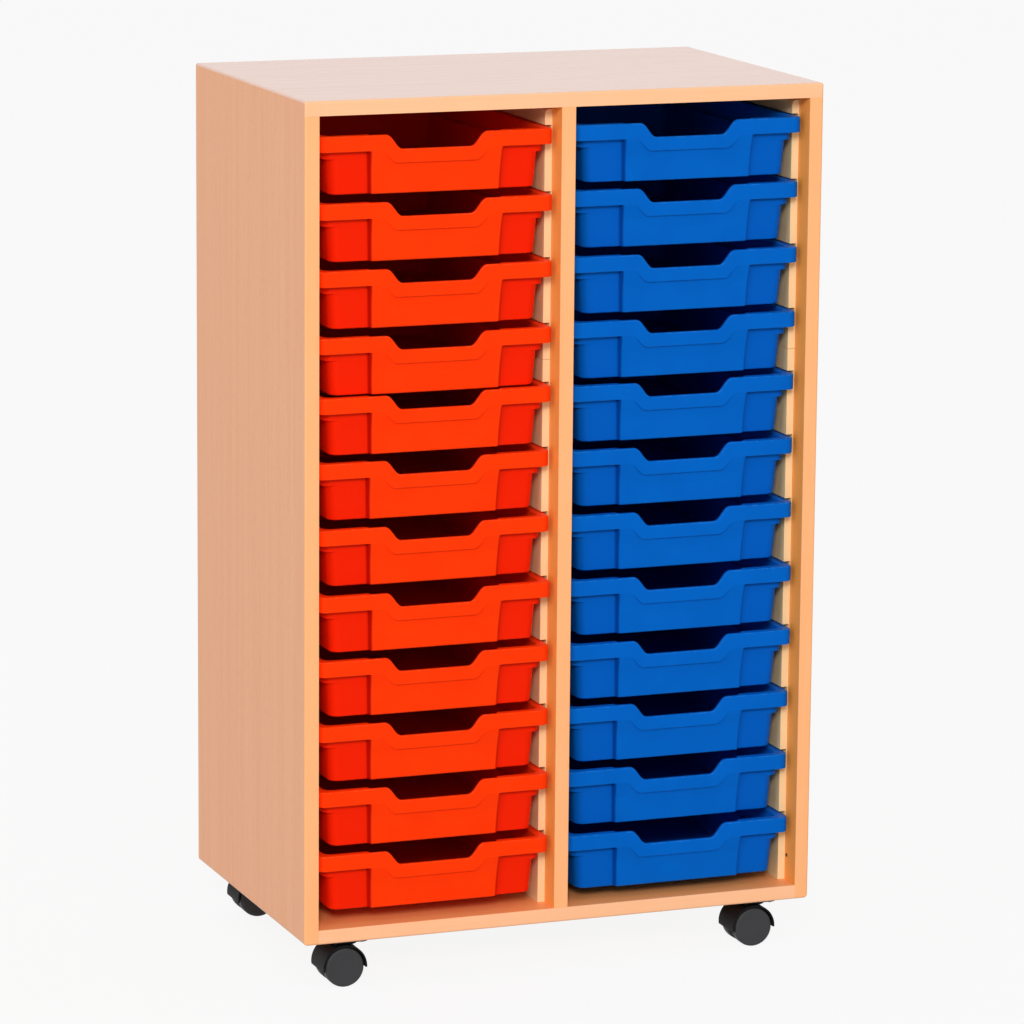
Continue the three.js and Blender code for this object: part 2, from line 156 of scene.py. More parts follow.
WALLS = {"red_left": 1, "red_right": -1, "blue_left": 1, "blue_right": -1}

# Screws: where they sit from the middle, edge or end of what they hold, and the sizes of a head.
PLATE_SCREW_REACH = 17.5 * MM
PLATE_SCREW_HEAD = (4 * MM, 1.6 * MM)
BACK_SCREW_INSET = 9 * MM
BACK_SCREW_END = 40 * MM
BACK_SCREWS = 6
BACK_SCREW_HEAD = (3.5 * MM, 0.9 * MM)
RUNNER_SCREW_FRONT = 45 * MM
RUNNER_SCREW_BACK = 18 * MM
RUNNER_SCREW_LEVEL = 30 * MM
RUNNER_SCREW_ROWS = {"lower": (6, 9, 12), "upper": (2, 4)}
RUNNER_SCREW_HEAD = (3.2 * MM, 0.8 * MM)
SIDE_SCREW_FRONT = 5 * MM
SIDE_SCREW_LEVEL = 34 * MM
SIDE_SCREW_HEAD = (2.6 * MM, 0.6 * MM)
HEAD_SIDES = 20
HEAD_CROWN_SHARE = 0.72
RECESS_LENGTH_SHARE = 1.1
RECESS_WIDTH_SHARE = 0.28

# The studio, in metres and watts. The soft boxes stand far off, so that light is even from top to foot.
ROOM_LIGHT = 0.6
FLOOR_REACH = 40.0
FLOOR_WHITE_SHARE = 0.9
LAMP_AIM = (0, 0, 0.6)
KEY_PLACE = (-4.55, -11.85, 6.52)
KEY_SIZE = 2.8
KEY_POWER = 880
LEFT_PLACE = (-10.08, -8.46, 5.39)
LEFT_SIZE = 3.7
LEFT_POWER = 270

# The camera, fitted to the photograph's edges. Angles in degrees, the picture is square.
CAMERA_AZIMUTH = -21.095
CAMERA_ELEVATION = 11.332
CAMERA_ROLL = 0.494
CAMERA_PLACE = (-2.4110, -6.2855, 1.9135)
CAMERA_LENS = 182.2
CAMERA_SENSOR = 36
CAMERA_REACH = 200


def linear(hex_colour):
    """An sRGB hex value as linear red, green, blue and alpha."""
    shares = [int(hex_colour[i:i + 2], 16) / 255 for i in (1, 3, 5)]
    return [s / 12.92 if s <= 0.04045 else ((s + 0.055) / 1.055) ** 2.4 for s in shares] + [1.0]


def add(tree, kind, inputs=None, **settings):
    """Adds a node with its settings. An input given as a socket is linked, any other is set."""
    made = tree.nodes.new(kind)
    for name, value in settings.items():
        setattr(made, name, value)
    for name, value in (inputs or {}).items():
        if isinstance(value, bpy.types.NodeSocket):
            tree.links.new(value, made.inputs[name])
        else:
            made.inputs[name].default_value = value
    return made


def start_material(name):
    """A new material, its tree, its shader and the place on the piece that patterns read."""
    made = bpy.data.materials.new(name)
    made.use_nodes = True
    tree = made.node_tree
    place = add(tree, "ShaderNodeTexCoord").outputs["Object"]
    return made, tree, tree.nodes["Principled BSDF"], place


def pattern(tree, place, size, detail=2.0, low=0.3, high=0.7):
    """A soft random pattern from 0 to 1, whose blotches have the given size along x, y and z."""
    scaled = add(tree, "ShaderNodeMapping", {"Vector": place, "Scale": [1 / s for s in size]})
    noise = add(tree, "ShaderNodeTexNoise",
                {"Vector": scaled.outputs[0], "Scale": 1.0, "Detail": detail})
    spread = add(tree, "ShaderNodeMapRange",
                 {"Value": noise.outputs[0], "From Min": low, "From Max": high})
    return spread.outputs[0]


def layered(tree, colour, cover, where, most):
    """A colour with another over it, by the most where a pattern is 1 and not at all where it is 0.

    Each colour is a hex value or another layer's socket.
    """
    under, over = [linear(c) if isinstance(c, str) else c for c in (colour, cover)]
    share = add(tree, "ShaderNodeMath", {0: where, 1: most}, operation="MULTIPLY").outputs[0]
    return add(tree, "ShaderNodeMix", {0: share, 6: under, 7: over}, data_type="RGBA").outputs[2]


def along_grain(grain, across, along):
    """A pattern's size along x, y and z, for grain that runs along one of them."""
    return [along if axis == grain else across for axis in range(3)]


def beech_melamine(name, grain, light, dark, fleck, film):
    """Beech-effect melamine: printed paper pressed onto chipboard under a clear film.

    It gives a calm pinkish tan with straight soft bands, short brown flecks and a satin sheen.
    """
    made, tree, shader, place = start_material(name)
    # Growth bands, fine streaks and short flecks. Real flecks are half as wide, too fine to show.
    bands = pattern(tree, place, along_grain(grain, across=14 * MM, along=700 * MM), detail=3.0)
    streaks = pattern(tree, place, along_grain(grain, across=2.5 * MM, along=160 * MM))
    flecks = pattern(tree, place, along_grain(grain, across=1 * MM, along=9 * MM),
                     detail=0.0, low=0.66, high=0.74)
    wood = layered(tree, light, dark, bands, most=0.6)
    wood = layered(tree, wood, dark, streaks, most=0.2)
    wood = layered(tree, wood, fleck, flecks, most=0.2)
    tree.links.new(wood, shader.inputs["Base Color"])
    uneven = add(tree, "ShaderNodeMath", {0: streaks, 1: 0.1, 2: film}, operation="MULTIPLY_ADD")
    tree.links.new(uneven.outputs[0], shader.inputs["Roughness"])
    bump = add(tree, "ShaderNodeBump", {"Height": streaks, "Strength": 0.06, "Distance": 0.2 * MM})
    tree.links.new(bump.outputs[0], shader.inputs["Normal"])
    shader.inputs["IOR"].default_value = 1.5
    return made


def edge_band(name, grain, light, dark):
    """ABS edge band, extruded and printed to match the board: plainer, with a soft sheen."""
    made, tree, shader, place = start_material(name)
    # Printed bands 5 mm wide and clouds 60 mm across.
    bands = pattern(tree, place, along_grain(grain, across=5 * MM, along=240 * MM))
    clouds = pattern(tree, place, (60 * MM,) * 3, detail=1.0)
    colour = layered(tree, light, dark, bands, most=0.5)
    colour = layered(tree, colour, dark, clouds, most=0.4)
    tree.links.new(colour, shader.inputs["Base Color"])
    uneven = add(tree, "ShaderNodeMath", {0: bands, 1: 0.08, 2: 0.38}, operation="MULTIPLY_ADD")
    tree.links.new(uneven.outputs[0], shader.inputs["Roughness"])
    bump = add(tree, "ShaderNodeBump", {"Height": bands, "Strength": 0.04, "Distance": 0.2 * MM})
    tree.links.new(bump.outputs[0], shader.inputs["Normal"])
    shader.inputs["IOR"].default_value = 1.5
    shader.inputs["Specular IOR Level"].default_value = 0.3
    return made


def moulded(name, body, shade, worn, roughness, gloss, zones=None):
    """Injection-moulded plastic: even colour, faint flow clouds, a fine eroded skin and scuffed edges.

    zones: the colour of each part of a tray that differs: painted shade over the tub outside its panel,
    a painted shadow line on the panel's steps, and inside a tint that paints in its interior's light.
    """
    made, tree, shader, place = start_material(name)
    # Flow clouds 45 mm across, scuffs 6 mm across. The skin's grain is 0.9 mm, twice as coarse as
    # in a real mould, where it is too fine to show.
    clouds = pattern(tree, place, (45 * MM,) * 3)
    skin = pattern(tree, place, (0.9 * MM,) * 3, detail=1.0)
    scuffs = pattern(tree, place, (6 * MM,) * 3, detail=3.0, low=0.42)
    edge = add(tree, "ShaderNodeAttribute", attribute_name="edge").outputs["Fac"]
    wear = add(tree, "ShaderNodeMath", {0: edge, 1: scuffs}, operation="MULTIPLY").outputs[0]
    colour = layered(tree, body, shade, clouds, most=0.5)
    # Each zone lays a tint of painted light or shade where its attribute reaches.
    for zone, tint in (zones or {}).items():
        reach = add(tree, "ShaderNodeAttribute", attribute_name=zone).outputs["Fac"]
        colour = layered(tree, colour, tint, reach, most=1.0)
    colour = layered(tree, colour, worn, wear, most=0.45)
    tree.links.new(colour, shader.inputs["Base Color"])
    uneven = add(tree, "ShaderNodeMath", {0: clouds, 1: 0.08, 2: roughness}, operation="MULTIPLY_ADD")
    tree.links.new(uneven.outputs[0], shader.inputs["Roughness"])
    bump = add(tree, "ShaderNodeBump", {"Height": skin, "Strength": 0.1, "Distance": 0.1 * MM})
    tree.links.new(bump.outputs[0], shader.inputs["Normal"])
    shader.inputs["IOR"].default_value = 1.49
    shader.inputs["Specular IOR Level"].default_value = gloss
    return made


def zinc_plate(name, dull, bright):
    """Zinc-plated steel: grey metal with a faint crystalline unevenness, in the two tones given."""
    made, tree, shader, place = start_material(name)
    # Crystals 2.5 mm across, coarser than real plating, where they are too fine to show.
    crystals = pattern(tree, place, (2.5 * MM,) * 3, detail=3.0)
    colour = layered(tree, dull, bright, crystals, most=1.0)
    tree.links.new(colour, shader.inputs["Base Color"])
    uneven = add(tree, "ShaderNodeMath", {0: crystals, 1: 0.16, 2: 0.26}, operation="MULTIPLY_ADD")
    tree.links.new(uneven.outputs[0], shader.inputs["Roughness"])
    shader.inputs["Metallic"].default_value = 1.0
    return made


SIDE_BEECH = beech_melamine("beech_melamine_upright_grain", 2, "#f1ac7b", "#e99f6d", "#c88456", 0.36)
# The top: the side's print made paler and greyer, painted sheen.
TOP_BEECH_PAINTED_SHEEN = beech_melamine("beech_melamine_level_grain_painted_sheen", 0, "#edc0ab", "#e5b49f", "#c5937b", 0.15)
# Inner upright faces: a warmer, deeper orange, painted bounce light from trays and boards.
INNER_WALL_BEECH_PAINTED_BOUNCE = beech_melamine("beech_melamine_inside_upright_painted_bounce_light", 2, "#ffa84e", "#f89a40", "#d88236", 0.42)
# Inner level faces, the top's underside and the whole base panel: warmer and redder, painted bounce light.
INNER_FLOOR_BEECH_PAINTED_BOUNCE = beech_melamine("beech_melamine_inside_level_painted_bounce_light", 0, "#ffac6c", "#f89e5e", "#d0804c", 0.42)
UPRIGHT_BAND = edge_band("beech_printed_abs_band_upright", 2, "#fdb67c", "#fbae72")
LEVEL_BAND = edge_band("beech_printed_abs_band_level", 0, "#fdc092", "#fbb988")
CREAM = moulded("cream_moulded_polystyrene", "#f8d8a5", "#f4cf99", "#fff0dc", 0.42, 0.3)
# Tray zones: painted shade over the tub beyond the panel, a painted shadow line on the panel's steps, and
# an inside tint that paints in the interior's light, lighter on blue and a touch deeper on red.
RED = moulded("red_moulded_polypropylene", "#fe3a04", "#fa3303", "#ff6a3a", 0.36, 0.04,
              {"painted_tub_shade": "#f02202", "painted_step_shade": "#b81200", "inside": "#f83404"})
BLUE = moulded("blue_moulded_polypropylene", "#0061c0", "#0059b4", "#3a8ce0", 0.36, 0.04,
               {"painted_tub_shade": "#005aba", "painted_step_shade": "#00469a", "inside": "#0668d8"})
BLACK_NYLON = moulded("black_moulded_nylon", "#121011", "#161415", "#343233", 0.5, 0.1)
GREY_NYLON = moulded("grey_moulded_nylon", "#343436", "#3a3a3c", "#5a5a5c", 0.5, 0.25)
ZINC = zinc_plate("zinc_plated_steel", "#a9adb3", "#c6c8ca")
# A dark copy of the zinc: painted shade for the caster plates under the base; the screws low inside the
# sides use it too.
DARK_ZINC_PAINTED_SHADE = zinc_plate("dark_zinc_steel_painted_shade", "#242324", "#302f30")


def finished(name, shape, materials, body, slot, *nodes, sharp=40):
    """Makes a piece of a shape, with normals that keep its flats flat, and sets it on its body."""
    mesh = bpy.data.meshes.new(name)
    shape.to_mesh(mesh)
    shape.free()
    for material in materials:
        mesh.materials.append(material)
    mesh.shade_smooth()
    mesh.set_sharp_from_angle(angle=math.radians(sharp))
    piece = bpy.data.objects.new(name, mesh)
    bpy.context.scene.collection.objects.link(piece)
    normals = piece.modifiers.new("flats stay flat", "WEIGHTED_NORMAL")
    normals.keep_sharp = True
    settle(piece)
    return placed(piece, body, slot, *nodes)


def settle(piece):
    """Turns a piece's modifiers into plain mesh."""
    bpy.context.view_layer.update()
    shown = piece.evaluated_get(bpy.context.evaluated_depsgraph_get())
    piece.data = bpy.data.meshes.new_from_object(shown)
    piece.data.name = piece.name
    piece.modifiers.clear()


def placed(piece, body, slot, *nodes):
    """Sets a piece on its body in place of the nodes that it stands for."""
    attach(piece, body)
    if nodes:
        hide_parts(*nodes)
    return piece


def joined(shapes):
    """One closed skin round solids that run into each other."""
    parts = []
    for shape in shapes:
        mesh = bpy.data.meshes.new("part of a joined solid")
        shape.to_mesh(mesh)
        shape.free()
        parts.append(bpy.data.objects.new(mesh.name, mesh))
        bpy.context.scene.collection.objects.link(parts[-1])
    for part in parts[1:]:
        union = parts[0].modifiers.new("joined", "BOOLEAN")
        union.operation = "UNION"
        union.solver = "EXACT"
        union.object = part
    settle(parts[0])
    whole = bmesh.new()
    whole.from_mesh(parts[0].data)
    for part in parts:
        bpy.data.objects.remove(part)
    return whole


def rounded(shape, edges, radius, segments):
    """Rounds the given edges of a shape."""
    bmesh.ops.bevel(shape, geom=list(edges), offset=radius, segments=segments, profile=0.5,
                    affect="EDGES", clamp_overlap=True)


def rounded_sharp(shape, radius, segments=2, angle=40):
    """Rounds every arris of a shape that turns by more than an angle."""
    least = math.radians(angle)
    shape.normal_update()
    rounded(shape, [e for e in shape.edges if e.is_manifold and e.calc_face_angle() > least],
            radius, segments)


def prism(shape, outline, low, high, place):
    """Adds the solid that an outline sweeps from low to high. place puts (u, v, along) in space."""
    ends = [[shape.verts.new(place(u, v, along)) for u, v in outline] for along in (low, high)]
    count = len(outline)
    made = [shape.faces.new(ends[0]), shape.faces.new(ends[1][::-1])]
    for i in range(count):
        j = (i + 1) % count
        made.append(shape.faces.new((ends[0][j], ends[0][i], ends[1][i], ends[1][j])))
    bmesh.ops.recalc_face_normals(shape, faces=made)


def lathed(shape, profile, steps, place):
    """Adds a turned solid. profile is (radius, along) from axis to axis, place as for a prism."""
    rings = []
    for radius, along in profile:
        if radius == 0:
            rings.append([shape.verts.new(place(0, 0, along))])
            continue
        angles = [2 * math.pi * k / steps for k in range(steps)]
        rings.append([shape.verts.new(place(radius * math.cos(a), radius * math.sin(a), along))
                      for a in angles])
    made = []
    for first, second in zip(rings, rings[1:]):
        for k in range(steps):
            corners = [first[k % len(first)], first[(k + 1) % len(first)],
                       second[(k + 1) % len(second)], second[k % len(second)]]
            made.append(shape.faces.new(list(dict.fromkeys(corners))))
    bmesh.ops.recalc_face_normals(shape, faces=made)


def arc(radius, start, end, steps, middle=(0, 0)):
    """Points along an arc, from one angle to another."""
    angles = [start + (end - start) * k / steps for k in range(steps + 1)]
    return [(middle[0] + radius * math.cos(a), middle[1] + radius * math.sin(a)) for a in angles]


def smooth(share):
    """A share from 0 to 1 that starts and ends gently."""
    share = min(1.0, max(0.0, share))
    return share * share * (3 - 2 * share)


def between(first, second, share):
    """The value that lies a share of the way from the first to the second."""
    return first + (second - first) * share


# Boards

SIDES = {"left": (0, 0), "right": (0, 1), "front": (1, 0), "back": (1, 1), "foot": (2, 0), "top": (2, 1)}


def board(node, material, arrises, bands, faces=None):
    """A board with round arrises, edge bands and its faces' finishes.

    arrises: a radius, the sides whose plane an edge lies in and the sides whose plane it doesn't.
    bands and faces: a finish for each side named. A band's seam lies its own thickness in.
    """
    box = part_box(node)
    shape = bmesh.new()
    bmesh.ops.create_cube(shape, size=1.0)
    bmesh.ops.scale(shape, vec=box[1] - box[0], verts=shape.verts)
    bmesh.ops.translate(shape, vec=(box[0] + box[1]) / 2, verts=shape.verts)

    def lies_in(edge, side):
        axis, end = SIDES[side]
        return all(abs(v.co[axis] - box[end][axis]) < TOUCHING for v in edge.verts)

    for radius, inside, outside in arrises:
        edges = [e for e in shape.edges if all(lies_in(e, side) for side in inside)
                 and not any(lies_in(e, side) for side in outside)]
        rounded(shape, edges, radius, segments=4)
    materials = [material]
    for finishes, depth in ((faces or {}, FACE_THICKNESS), (bands, BAND_THICKNESS)):
        for side, finish in finishes.items():
            axis, end = SIDES[side]
            outward = Vector([0.0, 0.0, 0.0])
            outward[axis] = 1 if end else -1
            seam = box[end] - outward * depth
            everything = list(shape.verts) + list(shape.edges) + list(shape.faces)
            bmesh.ops.bisect_plane(shape, geom=everything, plane_co=seam, plane_no=outward)
            if finish not in materials:
                materials.append(finish)
            for face in shape.faces:
                if (face.calc_center_median() - seam).dot(outward) > TOUCHING:
                    face.material_index = materials.index(finish)
    finished(node + "_board", shape, materials, "carcass", "beech_board", node)


board("top_panel", TOP_BEECH_PAINTED_SHEEN,
      [(ARRIS_RADIUS, (x, y), ()) for x in ("left", "right") for y in ("front", "back")]
      + [(ARRIS_RADIUS, ("top",), ()), (INNER_ARRIS_RADIUS, ("foot", "front"), ())],
      {"front": LEVEL_BAND, "back": LEVEL_BAND},
      {"foot": INNER_FLOOR_BEECH_PAINTED_BOUNCE, "left": SIDE_BEECH, "right": SIDE_BEECH})
board("base_panel", INNER_FLOOR_BEECH_PAINTED_BOUNCE,
      [(ARRIS_RADIUS, ("foot", "front"), ()), (ARRIS_RADIUS, ("foot", "back"), ()),
       (INNER_ARRIS_RADIUS, ("top", "front"), ())],
      {"front": LEVEL_BAND, "back": LEVEL_BAND})
for outer, inner in (("left", "right"), ("right", "left")):
    board(outer + "_side_panel", SIDE_BEECH,
          [(FOOT_ARRIS_RADIUS, (outer, "foot"), ()),
           (ARRIS_RADIUS, ("front",), (inner, "top")), (ARRIS_RADIUS, ("back",), (inner, "top")),
           (INNER_ARRIS_RADIUS, (inner, "front"), ())],
          {"front": UPRIGHT_BAND, "back": UPRIGHT_BAND}, {inner: INNER_WALL_BEECH_PAINTED_BOUNCE})
board("centre_divider", INNER_WALL_BEECH_PAINTED_BOUNCE,
      [(INNER_ARRIS_RADIUS, (side, "front"), ()) for side in ("left", "right")], {"front": UPRIGHT_BAND})
board("back_panel", INNER_WALL_BEECH_PAINTED_BOUNCE, [(INNER_ARRIS_RADIUS, ("back",), ())], {}, {"back": SIDE_BEECH})


# Runners

def runner(section, wall):
    """A slotted runner with round arrises, its slots cut for the rims of the trays of its rows."""
    node = f"{section}_runner_{wall}"
    low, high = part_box(node)
    facing = WALLS[wall]
    wall_x, face_x = (low.x, high.x) if facing > 0 else (high.x, low.x)
    web_x = wall_x + facing * RUNNER_WEB
    rows = range(ROWS, UPPER_ROWS, -1) if section == "lower" else range(UPPER_ROWS, 0, -1)
    outline = [(wall_x, low.z), (face_x, low.z)]
    for row in rows:
        rim_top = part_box(f"{wall.split('_')[0]}_tray_{row:02d}")[1].z
        seat, ceiling = rim_top - SLOT_SEAT, rim_top + SLOT_HEADROOM
        outline += [(face_x, seat), (web_x, seat), (web_x, ceiling), (face_x, ceiling)]
    if section == "upper":
        nose = arc(RUNNER_NOSE, 0, math.pi / 2, EDGE_STEPS)
        outline += [(face_x + facing * (x - RUNNER_NOSE), high.z + z - RUNNER_NOSE) for x, z in nose]
    else:
        outline.append((face_x, high.z))
    outline.append((wall_x, high.z))
    shape = bmesh.new()
    prism(shape, outline, low.y, high.y, lambda u, v, along: (u, along, v))
    rounded_sharp(shape, RUNNER_ARRIS)
    finished(node + "_moulding", shape, (CREAM,), "carcass", "runner_cream", node)


for section in ("lower", "upper"):
    for wall in WALLS:
        runner(section, wall)


# Trays

# Half a turn round a tray in plan, from the middle of its front to the middle of its back: each
# station is the zone it is in and how far along that zone it is. The places are in millimetres, from
# the middle of the front, from the panel's edge and from the rim's front.
CENTRE_PLACES = [0, 12, 24, 34, 40, *range(44, 76, 2), 79]
STEP_PLACES = [-3, -0.8, -0.3, 0.3, 0.8, 3]
SIDE_PLACES = [15, 16.6, 17.5, 18.5, 19.4, 23, 40, 90, 150, 213, 275, 335, 385, 415]
END_STEPS = 4
CORNER_STEPS = 8
BACK_STEPS = 3
STATIONS = (
    [("centre", x * MM) for x in CENTRE_PLACES]
    + [("step", x * MM) for x in STEP_PLACES]
    + [("end", k / END_STEPS) for k in range(1, END_STEPS + 1)]
    + [("corner", k / CORNER_STEPS) for k in range(1, CORNER_STEPS + 1)]
    + [("side", (y * MM - RIM_CORNER) / (TRAY_DEPTH - 2 * RIM_CORNER)) for y in SIDE_PLACES]
    + [("back_corner", k / CORNER_STEPS) for k in range(1, CORNER_STEPS + 1)]
    + [("back", k / BACK_STEPS) for k in range(1, BACK_STEPS + 1)]
)


def plan(station, half, front, back, corner, panel_half, panel_front):
    """Where a station is in plan, on an outline with round corners and a proud middle to its front."""
    zone, share = station
    if zone == "centre":
        return share, panel_front
    if zone == "step":
        return panel_half + share, between(panel_front, front, smooth(share / PANEL_STEP_SLOPE + 0.5))
    if zone == "end":
        return between(panel_half + PANEL_STEP, half - corner, share), front
    if zone in ("corner", "back_corner"):
        turn = share * math.pi / 2
        along, out = corner * (1 - math.cos(turn)), corner * math.sin(turn)
        if zone == "corner":
            return half - corner + out, front + along
        return half - along, back - corner + out
    if zone == "side":
        return half, between(front + corner, back - corner, share)
    return between(half - corner, 0.0, share), back


def dip(x, half, flare, depth):
    """How deep a trough with sloping sides and soft corners is at x."""
    samples = [x + SCOOP_ROUNDING * k / DIP_SAMPLES for k in range(-DIP_SAMPLES, DIP_SAMPLES + 1)]
    shares = [min(1.0, max(0.0, (half + flare - abs(s)) / flare)) for s in samples]
    return depth * sum(shares) / len(shares)


def rim_plan(station, inset):
    """A station on the rim's outline, or inside it by an inset."""
    return plan(station, TRAY_HALF_WIDTH - inset, inset, TRAY_DEPTH - inset, RIM_CORNER - inset,
                PANEL_HALF_WIDTH, inset)


def proudness(station):
    """1 on the proud middle of the front, 0 beyond its step."""
    zone, share = station
    if zone == "centre":
        return 1.0
    return 1 - smooth(share / PANEL_STEP_SLOPE + 0.5) if zone == "step" else 0.0


def ledge_share(station):
    """1 along the sides, where the shoulder stands out from the tub, 0 across the front and back."""
    zone, share = station
    if zone == "corner":
        return math.sin(share * math.pi / 2)
    if zone == "back_corner":
        return math.cos(share * math.pi / 2)
    return 1.0 if zone == "side" else 0.0


def wall_plan(station, half, height, inset, inside):
    """A station on a wall of the given half width, with the leaning panel proud of its front."""
    panel_half = PANEL_HALF_WIDTH - PANEL_DRAFT * (1 - height / TRAY_HEIGHT) - inset
    panel_front = PANEL_FOOT_SETBACK * max(0.0, 1 - (height / BAND_LEVEL) ** 2)
    if inside:
        panel_front = max(panel_front, SCOOP_WALL - TRAY_WALL)
    drawn = TUB_DRAFT * max(0.0, 1 - height / SHOULDER_FOOT)
    front = TUB_SETBACK + drawn + inset
    corner = max(TUB_CORNER - inset, LEAST_CORNER)
    return plan(station, half - drawn - inset, front, TRAY_DEPTH - front, corner,
                panel_half, panel_front + inset)


def tray_section(station):
    """A tray's skin at one station, from under its foot, over its rim, to its floor.

    Each point: x, y, z, then how far it is a worn edge, painted tub shade, painted step shade and inside.
    """
    zone, share = station
    x, y = rim_plan(station, 0.0)
    on_front = zone in ("centre", "step", "end")
    proud, ledge = proudness(station), ledge_share(station)
    top, edge_foot = TRAY_HEIGHT, BAND_LEVEL
    rim_foot = TRAY_HEIGHT - RIM_THICKNESS
    if on_front:
        top -= dip(x, SCOOP_HALF_WIDTH, SCOOP_FLARE, SCOOP_DEPTH)
        edge_foot -= dip(x, SCOOP_HALF_WIDTH + BAND_SPREAD, SCOOP_FLARE, BAND_DIP)
    elif zone != "corner":
        edge_foot = between(edge_foot, rim_foot, smooth((y - SKIRT_RETURN + MM) / (2 * MM)))
    # How far the wall lies behind the band's foot. Where the panel runs into the band, there is no gap.
    reveal = SKIRT_RETURN
    if on_front:
        reveal = wall_plan(station, SHOULDER_HALF_WIDTH, edge_foot, 0.0, False)[1]
    gap = min(1.0, reveal / FULL_REVEAL)
    gap = gap if gap > LEAST_GAP else 0.0
    wall_top = between(rim_foot + RIM_RECESS, edge_foot + PANEL_UNDERCUT * gap, proud)
    skin = []

    def wall(half, height, inset, inside=False, worn=0.0):
        # Painted shade: a deeper tint on the tub's outside wherever the panel is not proud.
        painted_tub_shade = 0.0 if inside else 1 - proud
        # Painted shadow line: a darker tint across the panel's steps.
        painted_step_shade = 0.0 if inside or zone != "step" else smooth(2 - abs(share) / PANEL_STEP_SLOPE)
        x, y = wall_plan(station, half, height, inset, inside)
        skin.append((x, y, height, worn, painted_tub_shade, painted_step_shade, float(inside)))

    def rim(height, inset, worn=0.0):
        x, y = rim_plan(station, inset)
        skin.append((x, y, height, worn, 0.0, 0.0, 0.0))

    def under(height, inset, worn=0.0):
        rim(between(edge_foot, height, gap), inset * gap, worn * gap)

    # The outside of the wall, squeezed below the band where the panel is proud.
    tub, shoulder = TUB_HALF_WIDTH, SHOULDER_HALF_WIDTH
    squeeze = wall_top / (rim_foot + RIM_RECESS)
    wall(tub, 0.0, FOOT_FILLET)
    wall(tub, FOOT_FILLET_MIDDLE, FOOT_FILLET_MIDDLE, worn=0.7)
    wall(tub, FOOT_FILLET, 0.0)
    for half, height, inset in ((tub, SHOULDER_FOOT / 2, 0.0),
                                (tub, SHOULDER_FOOT - LEDGE_FILLET, 0.0),
                                (tub, SHOULDER_FOOT - LEDGE_SLOPE_FOOT, -LEDGE_CORNER_IN * ledge),
                                (shoulder, SHOULDER_FOOT + LEDGE_SLOPE_TOP, LEDGE_CORNER_OUT * ledge),
                                (shoulder, SHOULDER_FOOT + LEDGE_FILLET, 0.0),
                                (shoulder, rim_foot - RIM_RECESS, 0.0),
                                (shoulder, rim_foot + RIM_RECESS, 0.0)):
        wall(half, height * squeeze, inset)
    # Under the rim, down the inside of the skirt and round its foot.
    inside = min(SKIRT_THICKNESS, SKIRT_REVEAL_SHARE * reveal)
    fillet = min(SKIRT_FILLET, 0.5 * inside)
    under(wall_top, inside + SKIRT_ROOT_FILLET)
    under(between(wall_top, edge_foot, 0.3), inside)
    under(between(edge_foot, wall_top, 0.1), inside)
    under(edge_foot, 0.75 * inside)
    under(edge_foot, fillet)
    under(edge_foot + 0.3 * fillet, 0.3 * fillet, worn=1.0)
    under(edge_foot + fillet, 0.0)
    # Up the face of the band, over the rim and down the inside to the floor.
    rim(top - RIM_FILLET, 0.0)
    rim(top - RIM_FILLET_MIDDLE, RIM_FILLET_MIDDLE, worn=1.0)
    rim(top, RIM_FILLET)
    wall(shoulder, top, TRAY_WALL - INNER_FILLET, True)
    wall(shoulder, top - INNER_FILLET_MIDDLE, TRAY_WALL - INNER_FILLET_MIDDLE, True, worn=0.8)
    wall(shoulder, top - INNER_FILLET, TRAY_WALL, True)
    lowered = between(1.0, (top - TRAY_WALL) / (TRAY_HEIGHT - TRAY_WALL), proud)
    for half, height, inset in ((shoulder, SHOULDER_FOOT + LEDGE_FILLET_INSIDE, 0.0),
                                (shoulder, SHOULDER_FOOT + LEDGE_SLOPE_INSIDE, LEDGE_CORNER_OUT * ledge),
                                (tub, SHOULDER_FOOT - LEDGE_SLOPE_INSIDE, -LEDGE_CORNER_IN * ledge),
                                (tub, SHOULDER_FOOT - LEDGE_FILLET_INSIDE, 0.0),
                                (tub, SHOULDER_FOOT / 2, 0.0),
                                (tub, FLOOR_FILLET_RISE, 0.0)):
        wall(half, TRAY_WALL + height * lowered, TRAY_WALL + inset, True)
    reach, rise = FLOOR_FILLET_MIDDLE
    wall(tub, TRAY_WALL + rise, TRAY_WALL + reach, True)
    wall(tub, TRAY_WALL, TRAY_WALL + FLOOR_FILLET_REACH, True)
    return skin


def tray_skins():
    """The sections of one tray: the right half, then the left half mirrored."""
    right = [tray_section(s) for s in STATIONS]
    left = [[(-x, *rest) for x, *rest in skin] for skin in right[1:-1]]
    return right + left[::-1]


def tray(node, skins, material, slot):
    """A tray lofted through its sections, on its own body."""
    low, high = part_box(node)
    place = Vector(((low.x + high.x) / 2, low.y, low.z))
    shape = bmesh.new()
    # Worn edges, the tub's and the steps' painted shade, and where the inside's painted-light tint goes.
    layers = [shape.verts.layers.float.new(name) for name in ("edge", "painted_tub_shade", "painted_step_shade", "inside")]
    columns = []
    for skin in skins:
        columns.append([shape.verts.new(place + Vector(point[:3])) for point in skin])
        for vert, point in zip(columns[-1], skin):
            for layer, value in zip(layers, point[3:]):
                vert[layer] = value
    for first, second in zip(columns, columns[1:] + columns[:1]):
        for k in range(len(first) - 1):
            shape.faces.new((first[k], second[k], second[k + 1], first[k + 1]))
    shape.faces.new([column[0] for column in columns][::-1])
    shape.faces.new([column[-1] for column in columns])
    bmesh.ops.remove_doubles(shape, verts=shape.verts, dist=TOUCHING)
    finished(node + "_moulding", shape, (material,), node, slot, node, sharp=50)


skins = tray_skins()
for colour, material in (("red", RED), ("blue", BLUE)):
    for row in range(1, ROWS + 1):
        tray(f"{colour}_tray_{row:02d}", skins, material, "tray_" + colour)


# Casters

